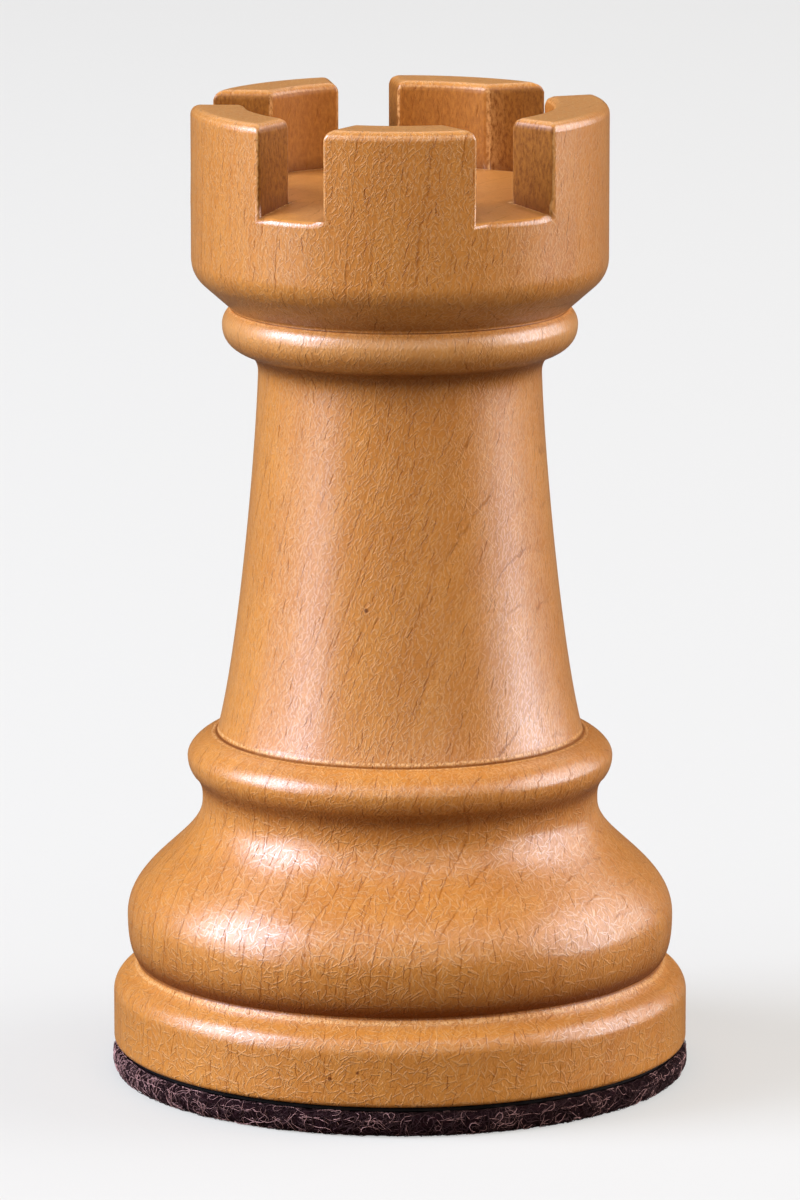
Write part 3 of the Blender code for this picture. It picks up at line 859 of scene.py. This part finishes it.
def buildPadFibres():
    # thin three-sided tubes along the paths: P = rim point + lift N + thick (cos k out + sin k side)
    look = pad["fibres"]
    rim, along = padRim()
    azimuth, h, lift, onEdge = fibrePaths()
    slope = np.gradient(rim, along, axis=0)
    radius, height = np.interp(h, along, rim[:, 0]), np.interp(h, along, rim[:, 1])
    outR, outZ = np.interp(h, along, slope[:, 1]), np.interp(h, along, -slope[:, 0])
    height = np.maximum(height + lift * outZ, look["lowest"]["height"])
    centre = around(radius + lift * outR, azimuth, height)
    out = around(outR, azimuth, outZ)
    side = np.cross(np.gradient(centre, axis=1), out)
    side /= np.linalg.norm(side, axis=2, keepdims=True)
    turns = np.radians([0.0, 120.0, 240.0])[:, None]
    t = np.linspace(-1.0, 1.0, look["points"])
    thick = draw.uniform(*look["thick"], (look["count"], 1, 1, 1))
    thick = thick * (1.0 - look["taper"] * t**4)[None, :, None, None]
    ring = np.cos(turns) * out[:, :, None] + np.sin(turns) * side[:, :, None]
    points = (centre[:, :, None] + thick * ring).reshape(-1, 3) * mm
    index = np.arange(len(points)).reshape(look["count"], look["points"], len(turns))
    beside = np.roll(index, -1, axis=2)
    faces = [
        cornerRows(index[:, :-1], beside[:, :-1], beside[:, 1:], index[:, 1:]),
        index[:, 0, ::-1],
        index[:, -1],
    ]
    # pale ones are commoner towards -X, as painted light from that side; those on the rim's top are all pale,
    # as painted highlights
    chance = look["pale"][0] + look["pale"][1] * np.clip(-np.sin(azimuth[:, :1]), 0.0, 1.0)
    pale = ((draw.uniform(0.0, 1.0, chance.shape) < chance) | onEdge)[:, :, None]
    paleTone, darkTone = (draw.uniform(*look[key], pale.shape) for key in ("paleTones", "darkTones"))
    tone = np.broadcast_to(np.where(pale, paleTone, darkTone), index.shape)
    return newPiece("pad_felt_fibres", points, faces, {"tone": tone.ravel()})[0]


felt = {
    "core": {"dark": tint(0.005, 0.0016, 0.0020), "pale": tint(0.024, 0.007, 0.009), "tuftScale": 2.6,
             "hairScale": (5.0, 5.0, 14.0), "hairShare": 0.4, "span": (0.36, 0.68), "rough": (0.86, 0.1),
             "relief": 0.06},
    "fibre": {"dark": tint(0.020, 0.006, 0.008), "pale": tint(0.60, 0.32, 0.29), "twistScale": 7.0,
              "twistShade": 0.6, "rough": (0.6, 0.2), "relief": 0.01},
}


def padFelt():
    look = felt["core"]
    finish = Finish("pad_felt", Specular_IOR_Level=0.05)
    skin = finish.skinPoint()
    tuft = finish.noise(skin, look["tuftScale"], detail=4.0, roughness=0.65, distortion=0.8)
    hair = finish.stretched(skin, look["hairScale"], detail=3.0, roughness=0.6, distortion=1.5)
    tone = ((1.0 - look["hairShare"]) * tuft + look["hairShare"] * hair).step(*look["span"])
    colour = finish.mix(tone, look["dark"], look["pale"])
    relief = finish.bump(tuft + look["hairShare"] * hair, look["relief"] * mm)
    least, more = look["rough"]
    return finish.feed(Base_Color=colour, Roughness=least + more * hair, Normal=relief)


def padFibre():
    look = felt["fibre"]
    finish = Finish("pad_fibre", Specular_IOR_Level=0.1)
    twist = finish.noise(finish.skinPoint(), look["twistScale"])
    tone = finish.attribute("tone") * (1.0 + look["twistShade"] * (twist - 0.5))
    colour = finish.mix(tone, look["dark"], look["pale"])
    relief = finish.bump(twist, look["relief"] * mm)
    least, more = look["rough"]
    return finish.feed(Base_Color=colour, Roughness=least + more * twist, Normal=relief)


padCore = buildPadCore()
place(padCore, padFelt(), "base_pad")
padFibres = buildPadFibres()
place(padFibres, padFibre(), None)
print("pad made:", pad["fibres"]["count"], "fibres")


# pieces that keep their solids: the glue film, the weight and the plug of its bore

inside = {
    # the glue film is near black, so that with the shadow of the gap it gives the dark line under the wood's
    # foot: partly painted shade
    "pad_adhesive": {"dark": tint(0.004, 0.0035, 0.0035), "pale": tint(0.014, 0.011, 0.011),
                     "grain": (1.2, 1.2, 3.0), "roughness": 0.85, "metallic": 0.0, "relief": 0.02},
    "weight_slug": {"dark": tint(0.07, 0.068, 0.066), "pale": tint(0.17, 0.165, 0.16),
                    "grain": (1.6, 1.6, 1.6), "roughness": 0.62, "metallic": 0.9, "relief": 0.05},
    "bore_plug": {"dark": tint(0.42, 0.26, 0.13), "pale": tint(0.60, 0.42, 0.24),
                  "grain": (0.25, 2.2, 2.2), "roughness": 0.75, "metallic": 0.0, "relief": 0.03},
}
innerSpread = {"tone": (0.3, 0.7), "rough": 0.2}


def innerFinish(name, look):
    finish = Finish(name + "_finish", Metallic=look["metallic"], Specular_IOR_Level=0.15)
    grain = finish.stretched(finish.skinPoint(), look["grain"], detail=4.0, roughness=0.6)
    colour = finish.mix(grain.step(*innerSpread["tone"]), look["dark"], look["pale"])
    relief = finish.bump(grain, look["relief"] * mm)
    rough = look["roughness"] + innerSpread["rough"] * (grain - 0.5)
    return finish.feed(Base_Color=colour, Roughness=rough, Normal=relief)


for name, look in inside.items():
    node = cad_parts[name]
    node.data.materials.clear()
    node.data.materials.append(innerFinish(name, look))
print("inner pieces finished:", ", ".join(inside))


# camera, floor and light

cameraPlace = {"elevation": 11.24, "distance": 440.0, "aimHeight": 26.772, "pixelsPerMm": 17.866,
               "frameHeight": 1200, "sensor": 36.0, "nearest": 0.01}
paper = {
    "radius": 4.0,
    "inner": (0.02, 0.05),
    "rings": 24,
    "columns": 96,
    "tone": tint(0.615, 0.57, 0.490),  # the floor as the camera sees it
    "fleck": tint(0.7, 0.7, 0.7),
    "fleckShare": 0.05,
    "fleckScale": 0.8,
    "bounceTone": tint(0.10, 0.075, 0.05),  # and as it lights the object
    "glow": 0.5,  # share of plain white in what the camera sees
    "mirrorShare": 0.03,  # how much of that the object's gloss shows
}
studio = {
    "seenTone": tint(0.95, 0.95, 0.95),
    "worldTone": tint(1.0, 1.0, 1.0),
    "worldLight": 0.03,
    "aim": (0.0, 0.0, 0.027),
    "reach": 1.2,
    # azimuth and elevation seen from the camera's side, width and height in degrees, radiance, tone
    "lamps": {
        "left": (-81.0, 33.0, 33.0, 35.0, 9.6, (0.86, 1.01, 1.35)),
        "left_low": (-66.0, 5.0, 24.0, 16.0, 3.5, (0.88, 1.01, 1.29)),
        "left_fill": (-77.0, 18.0, 62.0, 54.0, 1.8, (0.95, 1.01, 1.20)),
        "right": (95.0, 32.0, 28.0, 32.0, 2.6, (0.93, 1.0, 1.18)),
        "right_low": (92.0, 4.0, 22.0, 16.0, 4.6, (0.92, 1.0, 1.18)),
        "right_fill": (97.0, 17.0, 66.0, 50.0, 3.1, (1.0, 1.01, 1.06)),
        "front": (0.0, 26.0, 72.0, 30.0, 1.34, (1.0, 0.94, 0.85)),
        "top": (0.0, 60.0, 80.0, 22.0, 1.6, (0.97, 1.0, 1.08)),
        "back": (180.0, 50.0, 60.0, 30.0, 0.8, (1.0, 1.0, 1.0)),
    },
}


def makeCamera():
    look = cameraPlace
    tilt, reach = np.radians(look["elevation"]), look["distance"] * mm
    data = bpy.data.cameras.new("camera")
    data.sensor_width = look["sensor"]
    data.lens = look["pixelsPerMm"] * look["distance"] / look["frameHeight"] * data.sensor_width
    data.clip_start = look["nearest"]
    camera = newObject("camera", data)
    camera.location = (0.0, -reach * np.cos(tilt), look["aimHeight"] * mm + reach * np.sin(tilt))
    camera.rotation_euler = (np.pi / 2 - tilt, 0.0, 0.0)
    bpy.context.scene.camera = camera


def makeLamp(name, azimuth, elevation, width, height, radiance, tone):
    turn, rise = np.radians([azimuth, elevation])
    away = Vector((np.sin(turn) * np.cos(rise), -np.cos(turn) * np.cos(rise), np.sin(rise)))
    data = bpy.data.lights.new(name, "AREA")
    data.shape = "RECTANGLE"
    data.size, data.size_y = 2 * studio["reach"] * np.tan(np.radians([width, height]) / 2)
    data.energy = np.pi * data.size * data.size_y * radiance
    data.color = tone
    lamp = newObject(name, data)
    lamp.location = Vector(studio["aim"]) + away * studio["reach"]
    lamp.rotation_euler = away.to_track_quat("Z", "Y").to_euler()


def floorPaper():
    # the camera sees pale paper with a glow, and the object is lit by a darker, warmer one
    finish = Finish("floor_paper", Roughness=0.9, Specular_IOR_Level=0.0)
    fleck = finish.noise(finish.skinPoint(), paper["fleckScale"], detail=3.0)
    finish.feed(Base_Color=finish.mix(paper["fleckShare"] * fleck, paper["tone"], paper["fleck"]))
    glow = finish.node("Emission", None, {0: studio["seenTone"], 1: 1.0})
    plain = Wire(finish, finish.shader.outputs[0])
    pale = finish.node("MixShader", None, {0: paper["glow"], 1: plain, 2: glow})
    dull = finish.node("BsdfDiffuse", None, {0: paper["bounceTone"]})
    seen = finish.node("LightPath", output=0)
    mirrored = seen.sibling(3).most(seen.sibling(6))
    both = finish.node("MixShader", None, {0: seen + paper["mirrorShare"] * mirrored, 1: dull, 2: pale})
    finish.tree.links.new(both.socket, finish.tree.nodes["Material Output"].inputs[0])
    return finish.material


def makeFloor():
    # a disc of rings, r (sin a, -cos a), finest under the object
    middle, first = paper["inner"]
    rings = np.concatenate([[middle], np.geomspace(first, paper["radius"], paper["rings"])])[:, None]
    azimuth = np.linspace(0.0, 2 * np.pi, paper["columns"], endpoint=False)[None, :]
    surface = around(rings, azimuth, 0.0 * rings)
    index = np.arange(surface.size // 3).reshape(surface.shape[:2])
    points = np.concatenate([surface.reshape(-1, 3), [[0.0, 0.0, 0.0]]])
    faces = [gridQuads(index), fan(index[0], index.size, True)]
    floor = newPiece("floor", points, [face[:, ::-1] for face in faces])[0]
    floor.data.materials.append(floorPaper())


def makeWorld():
    world = bpy.data.worlds.new("studio")
    world.use_nodes = True
    tree = world.node_tree
    ambient = tree.nodes["Background"]
    ambient.inputs[0].default_value = studio["worldTone"]
    ambient.inputs[1].default_value = studio["worldLight"]
    seen = tree.nodes.new("ShaderNodeBackground")
    seen.inputs[0].default_value = studio["seenTone"]
    both = tree.nodes.new("ShaderNodeMixShader")
    rays = tree.nodes.new("ShaderNodeLightPath")
    for socket, maker in enumerate((rays, ambient, seen)):  # the rays' first output is the camera's
        tree.links.new(maker.outputs[0], both.inputs[socket])
    tree.links.new(both.outputs[0], tree.nodes["World Output"].inputs[0])
    bpy.context.scene.world = world


makeCamera()
makeFloor()
makeWorld()
for name, spec in studio["lamps"].items():
    makeLamp(name, *spec)
bpy.context.scene.view_settings.view_transform = "Standard"
print("studio made:", len(studio["lamps"]), "lamps")
